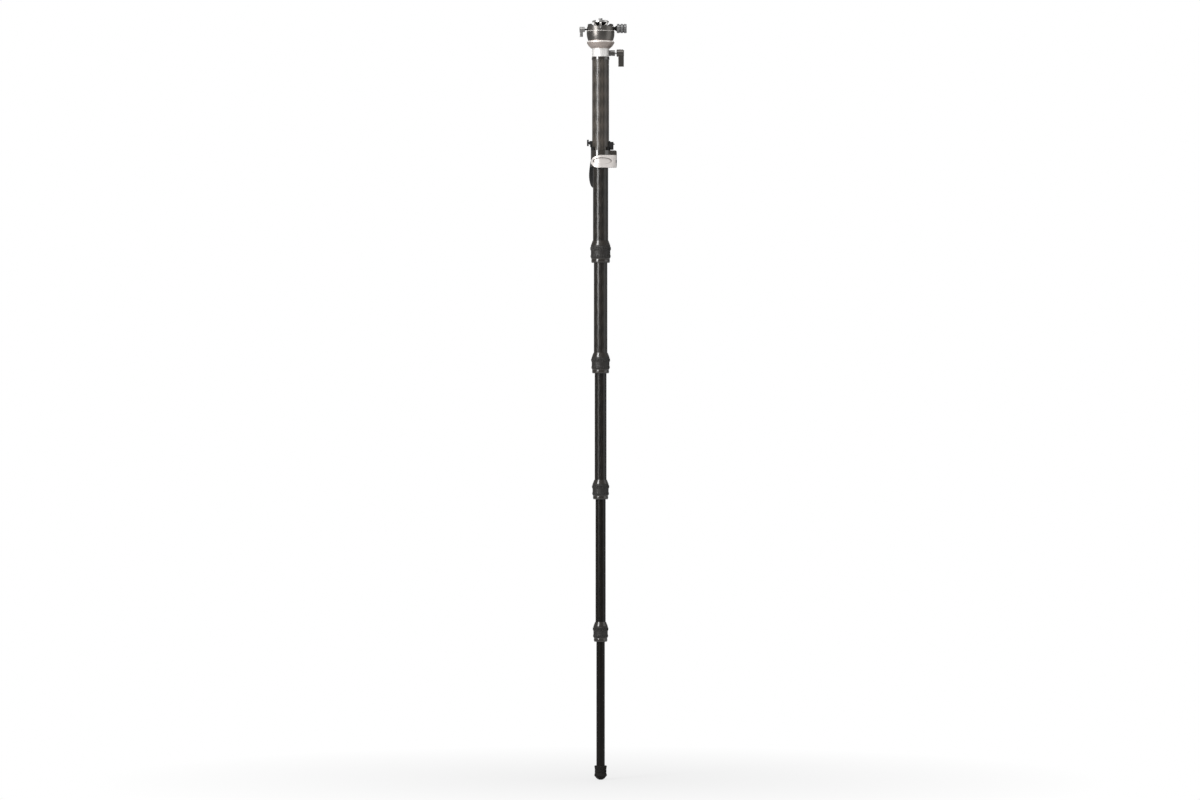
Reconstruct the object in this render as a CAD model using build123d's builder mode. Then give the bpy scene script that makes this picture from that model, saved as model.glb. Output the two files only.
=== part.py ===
from build123d import *
import os
from math import cos, radians, sin, sqrt

# Camera monopod, in millimetres. The foot's tip is at the origin, +Z is up along the tubes,
# -Y is the front and +X is the side of the knurled knob.

# Shared clearances
running_gap = 0.08
end_gap = 0.1
overrun = 3.0

# The six tubes, from the top one down
tube_radii = [20.0, 18.0, 16.0, 14.0, 12.0, 10.0]
tube_wall = 1.5
foot_height = 33.3
clamp_height = 38.6
upper_bare_length = 221.3
# The bare stretch under the clamp and under each lock, and the length of each lock
bare_lengths = [174.5, 212.7, 251.6, 289.9, 293.1]
lock_lengths = [52.2, 48.7, 46.2, 46.8]
# How far each inner tube reaches up past the lower end of its clamp or lock
tube_overlaps = [71.0, 86.0, 96.0, 105.0, 114.0]
clamp_grip_height = 23.0

# Shims at the upper ends of the inner tubes
shim_height = 18.0
shim_inset = 2.0
shim_split = 4.0

# Twist locks
ferrule_wall = 1.3
collet_bottom_lip = 1.8
collet_height = 8.7
collet_wall_past_tube = 1.2
collet_slit_width = 1.2
collet_slit_height = 6.0
collet_slit_count = 6
lock_lip_gap = 0.3
lock_top_lip = 5.0
ferrule_top_inset = 5.2
lock_edge = 1.0
lock_cone = 4.8
lock_land = 3.2
lock_bead_groove = 3.5
lock_bead = 4.0
lock_bead_end = 3.0
grip_edge = 5.0
grip_bulge = 6.5
grip_waist = 5.0
grip_ridge = 5.9
grip_end = 4.3
# Heights along a lock, as shares of its length from the bottom
lock_cone_share = 0.79
lock_land_share = 0.20
lock_groove_share = 0.165
lock_bead_top_share = 0.135
lock_bead_low_share = 0.05
grip_shoulder_share = 0.735
grip_bulge_top_share = 0.69
grip_bulge_low_share = 0.60
grip_waist_top_share = 0.54
grip_waist_low_share = 0.375
grip_ridge_top_share = 0.315
grip_ridge_low_share = 0.265
grip_rib_count = 36
grip_rib_groove = 1.4
grip_rib_offset = 0.2
ridge_notch_count = 24
ridge_notch_radius = 1.4
ridge_notch_offset = 0.4

# Foot
foot_rim_radius = 14.6
foot_rim_height = 5.0
foot_waist_radius = 14.0
foot_shoulder_radius = 15.0
foot_shoulder_low = 9.7
foot_shoulder_high = 13.0
foot_tip_radius = 4.0
foot_cone_height = 2.6
foot_cone_radius = 9.0
foot_groove_depth = 0.8
foot_groove_half = 0.9
foot_groove_count = 3
foot_seat_height = 12.0
plug_flange = 2.0
plug_length = 16.0
stud_radius = 4.0
stud_length = 6.0

# Flip clamp casting: the band, its two ears and the slot between them
band_radius = 23.2
casting_split = 1.0
ear_reach = 38.3
ear_start = 12.0
ear_front = 11.6
ear_back = 11.0
ear_fillet = 4.0
clamp_axis_x = 30.0
clamp_axis_y = -20.0

# Flip lever, its pin, eye bolt and nut
lever_bottom = -2.6
lever_height = 29.6
lever_hub_radius = 8.3
lever_cam_offset = 0.5
lever_inner_radius = 24.3
lever_outer_radius = 29.3
lever_tip_x = -23.4
lever_tip_drop = 12.5
lever_tip_radius = 7.0
lever_flat_end = 8.0
lever_shoulder_drop = 2.2
lever_tip_bend = 5.0
lever_shoulder_bend = 12.0
lever_crown_bend = 30.0
lever_corner_bend = 0.5
lever_opening = 110.0
dish_depth = 2.4
dish_left = -18.5
dish_right = 26.5
dish_top = 6.0
dish_bottom = 7.4
pin_radius = 2.5
pin_inset = 1.5
bolt_eye_radius = 5.0
bolt_eye_height = 7.0
bolt_radius = 2.5
bolt_reach = 17.5
nut_radius = 5.0
nut_height = 5.0

# Shroud over the casting: ring, saddle behind the tube, accessory block, lugs
shroud_ring_height = 8.4
shroud_gap_half = 16.0
saddle_height = 23.0
saddle_front = 2.0
block_inner = 14.0
block_reach = 30.5
block_bottom = 2.1
block_top = 20.3
block_half = 8.0
port_radius = 3.175
port_depth = 8.5
port_height = 8.6
port_nub_radius = 1.5
port_nub_reach = 2.5
port_nub_height = 15.2
lug_inner = 17.0
lug_reach = 26.6
lug_half = 4.5
thumb_height = 18.1
thumb_head_radius = 7.6
thumb_head_inner = 28.0
thumb_head_reach = 32.2
thumb_flute_radius = 1.3
thumb_flute_count = 16
thumb_shaft_radius = 2.5
thumb_shaft_tip = 20.6
lug_bore_radius = 2.58
strap_turn = 107.5
strap_lug_half = 15.0
strap_lug_wall = 3.0
strap_lug_back = 35.5
strap_lug_low = 9.5
strap_lug_high = 20.0
strap_pin_radius = 2.0
strap_pin_reach = 31.0
strap_pin_height = 15.2

# Wrist strap: webbing that hangs in a loop; radial places are from the tube's axis
strap_width = 20.0
strap_thickness = 2.2
strap_eye = 4.5
strap_eye_bend = 4.2
strap_inner = 26.4
strap_neck_drop = 16.0
strap_bulge_out = 59.8
strap_bulge_drop = 62.0
strap_hip_drop = 78.0
strap_belly_out = 50.5
strap_belly_drop = 92.0
strap_bottom_out = 31.0
strap_bottom_drop = 102.0
strap_inner_drop = 97.0
strap_bend = 20.0
strap_tight_bend = 3.5
strap_inner_bend = 6.0

# Head: collar, bowl and cup
collar_height = 20.1
collar_radius = 20.3
collar_wall_radius = 17.2
collar_plug_length = 11.0
collar_floor = 3.0
collar_chamfer = 0.6
trim_height = 7.1
trim_radius = 21.0
cup_top_radius = 33.0
bowl_height = 17.0
bowl_low_radius = 21.9
bowl_mid_inset = 5.0
bowl_mid_height = 5.4
bowl_rim_flare = 0.3
bowl_rim_low = 12.6
bowl_rim_inset = 0.3
bowl_rim_chamfer = 1.2
bowl_land_inset = 4.0
bowl_land_height = 1.5
spigot_length = 16.6
bowl_bolt_hole = 4.0
cup_below_ball = 12.5
cup_bottom_inset = 3.1
cup_bottom_edge = 1.0
cup_belly_inset = 1.05
cup_belly_height = 8.5
cup_floor = 3.0
cup_spigot_step = 4.0
cup_spigot_wall = 2.0
cup_spigot_top = 2.6
scale_height = 1.4
scale_drop = 0.9
scale_tick_count = 36
scale_tick_width = 0.5
scale_tick_depth = 0.4

# Pan ring and the levelling joint inside it
pan_ring_inset = 0.7
pan_ring_height = 11.1
pan_ring_chamfer = 1.4
pan_groove_gap = 0.1
pan_groove_top = 2.4
socket_gap = 0.2
socket_wall = 4.8
ball_gap = 0.05
liner_thickness = 0.9
liner_top_share = 0.5455
lip_share = 0.6818
ball_top_share = 0.7727
mouth_step = 2.0
retainer_height = 3.0
retainer_bore = 4.1
pan_bolt_radius = 4.0
pan_bolt_head = 7.0
pan_bolt_head_height = 2.2
pan_bolt_tip = 10.0
washer_step = 0.3
washer_width = 1.7
washer_height = 0.4
washer_recess = 0.3
lobe_height = 16.0
lobe_outer_inset = 2.3
lobe_inner_inset = 10.8
lobe_saddle_inset = 21.5
lobe_saddle_share = 0.32
lobe_shoulder = 0.5
index_dot_radius = 1.1
index_dot_depth = 0.5
index_dot_height = 5.6

# Neck, platform and screw
neck_radius = 8.5
neck_stem_radius = 5.6
neck_core_radius = 12.0
neck_base_height = 2.2
rib_count = 6
rib_half = 2.3
rib_outer = 18.9
rib_flange = 2.6
platform_radius = 19.9
platform_height = 4.7
platform_chamfer = 0.7
platform_rise = 30.3
pad_outer = 17.5
pad_inner = 8.0
pad_height = 1.2
pad_recess = 0.8
screw_radius = 4.76
screw_shank_radius = 4.2
screw_reach = 5.6
screw_tip_chamfer = 0.9

# Level knob at the right
knob_height = 6.0
shoe_height_share = 0.7455
knob_cone_length = 5.8
knob_cone_gap = 0.3
knob_length = 23.2
knob_radius = 11.0
knob_groove_radius = 0.9
knob_groove_count = 20
knob_ring_count = 3
knob_ring_depth = 2.0
knob_ring_half = 1.5
knob_chamfer = 1.0
knob_cap_recess = 0.7
knob_cap_radius = 7.0
knob_cone_small = 3.8
knob_cone_large = 7.2
knob_screw_radius = 3.0
shoe_radius = 1.8
shoe_length = 3.0
shoe_clearance = 0.44
knob_screw_bore_depth = 6.0

# Pan lever at the left
pan_lever_height = 3.6
pan_lever_shaft_radius = 2.0
pan_lever_reach = 4.7
pan_lever_hub_length = 12.9
pan_lever_hub_radius = 6.2
pan_lever_arm_inset = 4.8
pan_lever_arm_width = 7.4
pan_lever_arm_drop = 17.2
pan_lever_arm_half = 4.2
pan_lever_fillet = 1.0
pan_shoe_gap = 0.3
pan_shoe_length = 1.4

# Release lever at the lower right
release_height = 9.4
release_boss_start = 19.3
release_boss_end = 34.0
release_boss_radius = 7.0
release_boss_neck = 1.2
release_boss_neck_at = 26.0
release_screw_radius = 2.9
release_screw_tip = 17.3
release_hub_inner = 37.8
release_hub_outer = 55.3
release_hub_radius = 8.8
release_arm_inner = 41.8
release_arm_outer = 55.0
release_arm_drop = 32.0
release_arm_half = 5.4
release_fillet = 1.4

# Head sizes that follow from the cup's radius, from the outside inwards
bowl_mid_radius = cup_top_radius - bowl_mid_inset
bowl_rim_radius = cup_top_radius - bowl_rim_inset
bowl_land_radius = cup_top_radius - bowl_land_inset
cup_bottom_radius = cup_top_radius - cup_bottom_inset
cup_belly_radius = cup_top_radius - cup_belly_inset
cup_spigot_radius = cup_top_radius - cup_spigot_step
cup_bore_radius = cup_spigot_radius - cup_spigot_wall
pan_ring_radius = cup_top_radius - pan_ring_inset
washer_inner = cup_spigot_radius + washer_step
washer_outer = washer_inner + washer_width
socket_wall_radius = cup_bore_radius - socket_gap
ball_radius = socket_wall_radius - socket_wall
ball_top = ball_radius * ball_top_share
ball_drop = ball_radius * shoe_height_share - knob_height
lip_height = ball_radius * lip_share
liner_top = ball_radius * liner_top_share
mouth_radius = ball_radius + mouth_step
cup_height = cup_below_ball + ball_drop
lobe_outer = pan_ring_radius - lobe_outer_inset
lobe_inner = pan_ring_radius - lobe_inner_inset
lobe_saddle = pan_ring_radius - lobe_saddle_inset
shoe_height = ball_radius * shoe_height_share - shoe_radius
level_shoe_tip = sqrt(ball_radius ** 2 - shoe_height ** 2) + shoe_clearance
knob_cone_start = pan_ring_radius + knob_cone_gap
knob_start = knob_cone_start + knob_cone_length
pan_shoe_tip = cup_spigot_radius + pan_shoe_gap
pan_lever_hub_inner = pan_ring_radius + pan_lever_reach
pan_lever_hub_outer = pan_lever_hub_inner + pan_lever_hub_length
pan_lever_arm_inner = pan_lever_hub_inner + pan_lever_arm_inset
pan_lever_arm_outer = pan_lever_arm_inner + pan_lever_arm_width

# Heights worked out from the foot upwards
lock_bottoms = [0.0, 0.0, 0.0, 0.0]
lock_tops = [0.0, 0.0, 0.0, 0.0]
height = foot_height
for lock in (3, 2, 1, 0):
    lock_bottoms[lock] = height + bare_lengths[lock + 1]
    lock_tops[lock] = lock_bottoms[lock] + lock_lengths[lock]
    height = lock_tops[lock]
clamp_bottom = height + bare_lengths[0]
casting_top = clamp_bottom + clamp_height
collar_bottom = casting_top + upper_bare_length
bowl_bottom = collar_bottom + collar_height
bowl_top = bowl_bottom + bowl_height
cup_bottom = bowl_top + bowl_land_height
cup_top = cup_bottom + cup_height
ball_centre = cup_top - ball_drop
pan_ring_bottom = cup_top + washer_height
pan_ring_top = cup_top + pan_ring_height
lever_middle = clamp_bottom + lever_bottom + lever_height / 2
section_bottoms = [clamp_bottom + clamp_grip_height]
for lock in range(4):
    section_bottoms.append(lock_bottoms[lock] + collet_bottom_lip + collet_height)
section_bottoms.append(foot_seat_height)
section_tops = [collar_bottom, clamp_bottom + tube_overlaps[0]]
for lock in range(4):
    section_tops.append(lock_bottoms[lock] + tube_overlaps[lock + 1])

parts = {}


def turned(outline, mode=Mode.ADD):
    """Turn an outline of (radius, height) points about the tubes' axis."""
    with BuildSketch(Plane.XZ) as section:
        with BuildLine():
            Polyline(*outline, close=True)
        make_face()
    revolve(section.sketch, axis=Axis.Z, mode=mode)


def turned_across(outline, axis_height, side, mode=Mode.ADD):
    """Turn an outline of (distance from the tube's axis, radius) points about a level X axis."""
    with BuildSketch(Plane.XZ) as section:
        with BuildLine():
            Polyline(*[(side * along, axis_height + out) for along, out in outline], close=True)
        make_face()
    revolve(section.sketch, axis=Axis((0, 0, axis_height), (1, 0, 0)), mode=mode)


def keep(name, piece):
    """Label a finished piece and put it with the others."""
    piece.part.label = name
    parts[name] = piece.part


# The six leg tubes
for section in range(6):
    tube_radius = tube_radii[section]
    with BuildPart() as leg_tube:
        with BuildSketch(Plane.XY.offset(section_bottoms[section])):
            Circle(tube_radius)
            Circle(tube_radius - tube_wall, mode=Mode.SUBTRACT)
        extrude(amount=section_tops[section] - section_bottoms[section])
    keep(f"leg_tube_{section + 1}", leg_tube)

# Two half shells at the upper end of each inner tube, which guide it in the tube around it
for section in range(1, 6):
    tube_radius = tube_radii[section]
    shim_radius = tube_radii[section - 1] - tube_wall - running_gap
    with BuildPart() as guide_shims:
        with BuildSketch(Plane.XY.offset(section_tops[section] - shim_inset - shim_height)):
            Circle(shim_radius)
            Circle(tube_radius, mode=Mode.SUBTRACT)
            Rectangle(shim_split, shim_radius * 2 + overrun, mode=Mode.SUBTRACT)
        extrude(amount=shim_height)
    keep(f"guide_shims_{section + 1}", guide_shims)

# The four twist locks: ferrule, collet, ring and rubber grip
for lock in range(4):
    upper_radius = tube_radii[lock + 1]
    lower_radius = tube_radii[lock + 2]
    bottom = lock_bottoms[lock]
    top = lock_tops[lock]
    length = lock_lengths[lock]
    ferrule_bottom = section_bottoms[lock + 1]
    ferrule_radius = upper_radius + ferrule_wall
    thread_radius = ferrule_radius + running_gap
    land_radius = upper_radius + lock_land

    with BuildPart() as lock_ferrule:
        with BuildSketch(Plane.XY.offset(ferrule_bottom)):
            Circle(ferrule_radius)
            Circle(upper_radius, mode=Mode.SUBTRACT)
        extrude(amount=top - ferrule_top_inset - ferrule_bottom)
    keep(f"lock_ferrule_{lock + 1}", lock_ferrule)

    with BuildPart() as lock_collet:
        with BuildSketch(Plane.XY.offset(bottom + collet_bottom_lip + end_gap)):
            Circle(upper_radius + collet_wall_past_tube)
            Circle(lower_radius + running_gap, mode=Mode.SUBTRACT)
        extrude(amount=collet_height - end_gap)
        with BuildSketch(Plane.XY.offset(bottom)):
            with PolarLocations(upper_radius, collet_slit_count):
                Rectangle(upper_radius, collet_slit_width)
        extrude(amount=collet_bottom_lip + collet_slit_height, mode=Mode.SUBTRACT)
    keep(f"lock_collet_{lock + 1}", lock_collet)

    with BuildPart() as lock_ring:
        turned([
            (lower_radius + lock_lip_gap, bottom),
            (upper_radius + lock_bead_end, bottom),
            (upper_radius + lock_bead, bottom + length * lock_bead_low_share),
            (upper_radius + lock_bead, bottom + length * lock_bead_top_share),
            (upper_radius + lock_bead_groove, bottom + length * lock_groove_share),
            (upper_radius + grip_end, bottom + length * lock_land_share),
            (land_radius, bottom + length * lock_land_share),
            (land_radius, bottom + length * lock_cone_share),
            (upper_radius + lock_cone, bottom + length * lock_cone_share),
            (upper_radius + lock_edge, top),
            (upper_radius + running_gap, top),
            (upper_radius + running_gap, top - lock_top_lip),
            (thread_radius, top - lock_top_lip),
            (thread_radius, bottom + collet_bottom_lip),
            (lower_radius + lock_lip_gap, bottom + collet_bottom_lip),
        ])
    keep(f"lock_ring_{lock + 1}", lock_ring)

    with BuildPart() as lock_grip:
        turned([
            (land_radius, bottom + length * lock_land_share),
            (upper_radius + grip_end, bottom + length * lock_land_share),
            (upper_radius + grip_ridge, bottom + length * grip_ridge_low_share),
            (upper_radius + grip_ridge, bottom + length * grip_ridge_top_share),
            (upper_radius + grip_waist, bottom + length * grip_waist_low_share),
            (upper_radius + grip_waist, bottom + length * grip_waist_top_share),
            (upper_radius + grip_bulge, bottom + length * grip_bulge_low_share),
            (upper_radius + grip_bulge, bottom + length * grip_bulge_top_share),
            (upper_radius + grip_edge, bottom + length * grip_shoulder_share),
            (upper_radius + grip_edge, bottom + length * lock_cone_share),
            (land_radius, bottom + length * lock_cone_share),
        ])
        with BuildSketch(Plane.XY.offset(bottom + length * grip_waist_top_share)):
            with PolarLocations(upper_radius + grip_bulge + grip_rib_offset, grip_rib_count):
                Circle(grip_rib_groove)
        extrude(amount=length * (lock_cone_share - grip_waist_top_share), mode=Mode.SUBTRACT)
        with BuildSketch(Plane.XY.offset(bottom + length * lock_land_share)):
            with PolarLocations(upper_radius + grip_ridge + ridge_notch_offset, ridge_notch_count):
                Circle(ridge_notch_radius)
        extrude(amount=length * (grip_waist_low_share - lock_land_share), mode=Mode.SUBTRACT)
    keep(f"lock_grip_{lock + 1}", lock_grip)

# Rubber foot over the lowest tube's end, cut flat at its tip
lowest_radius = tube_radii[5]
foot_grooves = []
for groove in range(foot_groove_count):
    share = (groove + 1) / (foot_groove_count + 1)
    middle = foot_shoulder_high + share * (foot_height - foot_rim_height - foot_shoulder_high)
    foot_grooves += [
        (foot_waist_radius, middle - foot_groove_half),
        (foot_waist_radius - foot_groove_depth, middle),
        (foot_waist_radius, middle + foot_groove_half),
    ]
with BuildPart() as rubber_foot:
    turned([
        (0, 0),
        (foot_tip_radius, 0),
        (foot_cone_radius, foot_cone_height),
        (foot_shoulder_radius, foot_shoulder_low),
        (foot_shoulder_radius, foot_shoulder_high - foot_groove_half),
        (foot_waist_radius, foot_shoulder_high),
        *foot_grooves,
        (foot_waist_radius, foot_height - foot_rim_height),
        (foot_rim_radius, foot_height - foot_rim_height + foot_groove_depth),
        (foot_rim_radius, foot_height - foot_groove_depth),
        (foot_rim_radius - foot_groove_depth, foot_height),
        (lowest_radius, foot_height),
        (lowest_radius, foot_seat_height - plug_flange),
        (stud_radius, foot_seat_height - plug_flange),
        (stud_radius, foot_seat_height - plug_flange - stud_length),
        (0, foot_seat_height - plug_flange - stud_length),
    ])
keep("rubber_foot", rubber_foot)

# Plug in the lowest tube, with the stud that the foot screws onto
with BuildPart() as foot_plug:
    turned([
        (0, foot_seat_height - plug_flange - stud_length),
        (stud_radius, foot_seat_height - plug_flange - stud_length),
        (stud_radius, foot_seat_height - plug_flange),
        (lowest_radius, foot_seat_height - plug_flange),
        (lowest_radius, foot_seat_height),
        (lowest_radius - tube_wall, foot_seat_height),
        (lowest_radius - tube_wall, foot_seat_height + plug_length),
        (0, foot_seat_height + plug_length),
    ])
keep("foot_plug", foot_plug)

# Clamp casting: a split band with two ears at the right
top_radius = tube_radii[0]
second_radius = tube_radii[1]
with BuildPart() as clamp_casting:
    with BuildSketch(Plane.XY.offset(clamp_bottom)):
        Circle(band_radius)
    extrude(amount=clamp_height)
    with BuildSketch(Plane.XZ.offset(ear_front)):
        with BuildLine():
            Polyline(
                (ear_start, clamp_bottom),
                (ear_reach, clamp_bottom),
                (ear_reach, casting_top),
                (ear_start, casting_top),
                close=True,
            )
        face = make_face()
        right_corners = face.vertices().group_by(Axis.X)[-1]
        fillet(right_corners, radius=ear_fillet)
    extrude(amount=-ear_front - ear_back)
    with BuildSketch(Plane.XY.offset(clamp_bottom)):
        Circle(second_radius + running_gap)
    extrude(amount=clamp_height, mode=Mode.SUBTRACT)
    with BuildSketch(Plane.XY.offset(clamp_bottom + clamp_grip_height)):
        Circle(top_radius)
    extrude(amount=clamp_height, mode=Mode.SUBTRACT)
    with BuildSketch(Plane.XY.offset(clamp_bottom)):
        with Locations((ear_reach, 0)):
            Rectangle((ear_reach - ear_start) * 2, casting_split * 2)
    extrude(amount=clamp_height, mode=Mode.SUBTRACT)
    with BuildSketch(Plane.XZ.offset(ear_front)):
        with Locations((clamp_axis_x, lever_middle)):
            Circle(bolt_radius + running_gap)
    extrude(amount=-ear_front - ear_back, mode=Mode.SUBTRACT)
keep("clamp_casting", clamp_casting)


# Flip lever: plan shape, trimmed by its outline seen from the front, with a dish
lever_base = clamp_bottom + lever_bottom
lever_top = lever_base + lever_height
tip_middle = lever_top - lever_tip_drop
outer_tip_depth = sqrt(lever_outer_radius ** 2 - lever_tip_x ** 2)
inner_tip_depth = sqrt(lever_inner_radius ** 2 - lever_tip_x ** 2)
hub_left = clamp_axis_x - lever_hub_radius
arm_end_x = hub_left - lever_cam_offset
arm_end_depth = sqrt(lever_inner_radius ** 2 - arm_end_x ** 2)
slot_half = bolt_radius + end_gap * 3
slot_reach = lever_hub_radius + overrun
slot_turn = radians(lever_opening - 90)
slot_edge_x = -slot_half * sin(slot_turn)
slot_edge_y = slot_half * cos(slot_turn)
dish_floor_radius = lever_outer_radius - dish_depth
dish_middle_x = (dish_left + dish_right) / 2
dish_middle = lever_base + (lever_height - dish_top + dish_bottom) / 2
with BuildPart() as dish_cutter:
    with BuildSketch(Plane.XZ.offset(lever_inner_radius / 2)):
        with Locations((dish_middle_x, dish_middle)):
            Ellipse((dish_right - dish_left) / 2, (lever_height - dish_top - dish_bottom) / 2)
    extrude(amount=ear_reach)
    with BuildSketch(Plane.XY.offset(lever_base)):
        with BuildLine():
            ThreePointArc(
                (lever_tip_x, -sqrt(dish_floor_radius ** 2 - lever_tip_x ** 2)),
                (-lever_tip_drop, -sqrt(dish_floor_radius ** 2 - lever_tip_drop ** 2)),
                (0, -dish_floor_radius),
            )
            Polyline(
                (0, -dish_floor_radius),
                (clamp_axis_x, clamp_axis_y - lever_hub_radius + dish_depth),
                (clamp_axis_x, 0),
                (lever_tip_x, 0),
                (lever_tip_x, -sqrt(dish_floor_radius ** 2 - lever_tip_x ** 2)),
            )
        make_face()
    extrude(amount=lever_height, mode=Mode.SUBTRACT)

with BuildPart() as clamp_lever:
    with BuildSketch(Plane.XY.offset(lever_base)):
        with BuildLine():
            ThreePointArc(
                (lever_tip_x, -outer_tip_depth),
                (-lever_tip_drop, -sqrt(lever_outer_radius ** 2 - lever_tip_drop ** 2)),
                (0, -lever_outer_radius),
            )
            Polyline(
                (0, -lever_outer_radius),
                (clamp_axis_x, clamp_axis_y - lever_hub_radius),
                (clamp_axis_x, clamp_axis_y),
                (hub_left, clamp_axis_y),
                (arm_end_x, -arm_end_depth),
            )
            ThreePointArc(
                (arm_end_x, -arm_end_depth),
                (0, -lever_inner_radius),
                (lever_tip_x, -inner_tip_depth),
            )
            Line((lever_tip_x, -inner_tip_depth), (lever_tip_x, -outer_tip_depth))
        make_face()
        with Locations((clamp_axis_x, clamp_axis_y)):
            Circle(lever_hub_radius - lever_cam_offset)
        with Locations((clamp_axis_x, clamp_axis_y + lever_cam_offset)):
            Circle(lever_hub_radius - lever_cam_offset)
    extrude(amount=lever_height)
    with BuildSketch(Plane.XZ.offset(-ear_back)):
        with BuildLine():
            FilletPolyline(
                (lever_tip_x, tip_middle),
                (lever_tip_x + lever_tip_radius, lever_top - lever_shoulder_drop * 2),
                (0, lever_top),
                (ear_reach + overrun, lever_top),
                (ear_reach + overrun, lever_base),
                (-lever_flat_end, lever_base),
                (lever_tip_x + lever_tip_radius, lever_base + lever_shoulder_drop),
                (lever_tip_x, tip_middle - lever_tip_radius),
                radius=[lever_tip_bend, lever_shoulder_bend, lever_crown_bend,
                        lever_corner_bend, lever_corner_bend, lever_crown_bend,
                        lever_shoulder_bend, lever_tip_bend],
                close=True,
            )
        make_face()
    extrude(amount=ear_back + ear_reach + overrun, mode=Mode.INTERSECT)
    add(dish_cutter.part, mode=Mode.SUBTRACT)
    with BuildSketch(Plane.XY.offset(lever_base + pin_inset)):
        with Locations((clamp_axis_x, clamp_axis_y)):
            Circle(pin_radius + running_gap)
    extrude(amount=lever_height - pin_inset * 2, mode=Mode.SUBTRACT)
    with BuildSketch(Plane.XY.offset(lever_middle - bolt_eye_height / 2 - end_gap)):
        with Locations((clamp_axis_x, clamp_axis_y)):
            Circle(bolt_eye_radius + end_gap)
        with BuildLine():
            Polyline(
                (clamp_axis_x - slot_half, clamp_axis_y),
                (clamp_axis_x - slot_half, clamp_axis_y + slot_reach),
                (clamp_axis_x + slot_reach, clamp_axis_y + slot_reach),
                (clamp_axis_x + slot_edge_x + slot_reach * cos(slot_turn),
                 clamp_axis_y - slot_edge_y - slot_reach * sin(slot_turn)),
                (clamp_axis_x + slot_edge_x, clamp_axis_y - slot_edge_y),
                close=True,
            )
        make_face()
    extrude(amount=bolt_eye_height + end_gap * 2, mode=Mode.SUBTRACT)
keep("clamp_lever", clamp_lever)

with BuildPart() as clamp_pin:
    with BuildSketch(Plane.XY.offset(lever_base + pin_inset + end_gap)):
        with Locations((clamp_axis_x, clamp_axis_y)):
            Circle(pin_radius)
    extrude(amount=lever_height - (pin_inset + end_gap) * 2)
keep("clamp_pin", clamp_pin)

with BuildPart() as clamp_bolt:
    with BuildSketch(Plane.XZ.offset(-clamp_axis_y)):
        with Locations((clamp_axis_x, lever_middle)):
            Circle(bolt_radius)
    extrude(amount=clamp_axis_y - bolt_reach)
    with BuildSketch(Plane.XY.offset(lever_middle - bolt_eye_height / 2)):
        with Locations((clamp_axis_x, clamp_axis_y)):
            Circle(bolt_eye_radius)
    extrude(amount=bolt_eye_height)
    with BuildSketch(Plane.XY.offset(lever_base)):
        with Locations((clamp_axis_x, clamp_axis_y)):
            Circle(pin_radius)
    extrude(amount=lever_height, mode=Mode.SUBTRACT)
keep("clamp_bolt", clamp_bolt)

with BuildPart() as clamp_nut:
    with BuildSketch(Plane.XZ.offset(-ear_back)):
        with Locations((clamp_axis_x, lever_middle)):
            RegularPolygon(nut_radius, 6)
            Circle(bolt_radius, mode=Mode.SUBTRACT)
    extrude(amount=-nut_height)
keep("clamp_nut", clamp_nut)

# Shroud: a ring on the casting, a saddle behind the tube, the accessory block and two lugs
thumb_axis = casting_top + thumb_height
strap_pin_level = casting_top + strap_pin_height
strap_plane = Plane(
    origin=(0, 0, 0),
    x_dir=(cos(radians(strap_turn)), sin(radians(strap_turn)), 0),
    z_dir=(sin(radians(strap_turn)), -cos(radians(strap_turn)), 0),
)
with BuildPart() as clamp_shroud:
    with BuildSketch(Plane.XY.offset(casting_top)):
        Circle(band_radius)
        with Locations((0, -band_radius)):
            Rectangle(shroud_gap_half * 2, band_radius * 2, mode=Mode.SUBTRACT)
    extrude(amount=shroud_ring_height)
    with BuildSketch(Plane.XY.offset(casting_top)):
        with Locations((0, band_radius + saddle_front)):
            Rectangle(band_radius * 2, band_radius * 2)
        Circle(band_radius, mode=Mode.INTERSECT)
    extrude(amount=saddle_height)
    with BuildSketch(Plane.XZ.offset(-block_half)):
        with Locations(((block_inner + block_reach) / 2, casting_top + (block_bottom + block_top) / 2)):
            Rectangle(block_reach - block_inner, block_top - block_bottom)
    extrude(amount=block_half * 2)
    with BuildSketch(Plane.XZ.offset(-lug_half)):
        with Locations((-(lug_inner + lug_reach) / 2, thumb_axis)):
            Rectangle(lug_reach - lug_inner, lug_half * 2)
    extrude(amount=lug_half * 2)
    with BuildSketch(strap_plane.offset(-strap_lug_half)):
        with Locations(((top_radius + strap_lug_back) / 2,
                        casting_top + (strap_lug_low + strap_lug_high) / 2)):
            Rectangle(strap_lug_back - top_radius, strap_lug_high - strap_lug_low)
    extrude(amount=strap_lug_half * 2)
    with BuildSketch(strap_plane.offset(-strap_lug_half + strap_lug_wall)):
        with Locations((band_radius + strap_lug_back / 2, casting_top + strap_lug_high / 2)):
            Rectangle(strap_lug_back, strap_lug_high * 2)
    extrude(amount=(strap_lug_half - strap_lug_wall) * 2, mode=Mode.SUBTRACT)
    with BuildSketch(strap_plane.offset(-strap_lug_half)):
        with Locations((strap_pin_reach, strap_pin_level)):
            Circle(strap_pin_radius)
    extrude(amount=strap_lug_half * 2, mode=Mode.SUBTRACT)
    with BuildSketch(Plane.XY.offset(casting_top)):
        Circle(top_radius)
    extrude(amount=saddle_height, mode=Mode.SUBTRACT)
    with BuildSketch(Plane.YZ.offset(block_reach)):
        with Locations((0, casting_top + port_height)):
            Circle(port_radius)
    extrude(amount=-port_depth, mode=Mode.SUBTRACT)
    with BuildSketch(Plane.YZ.offset(block_reach)):
        with Locations((0, casting_top + port_nub_height)):
            Circle(port_nub_radius)
    extrude(amount=port_nub_reach)
    with BuildSketch(Plane.YZ.offset(-lug_reach)):
        with Locations((0, thumb_axis)):
            Circle(lug_bore_radius)
    extrude(amount=lug_reach - top_radius, mode=Mode.SUBTRACT)
keep("clamp_shroud", clamp_shroud)

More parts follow.
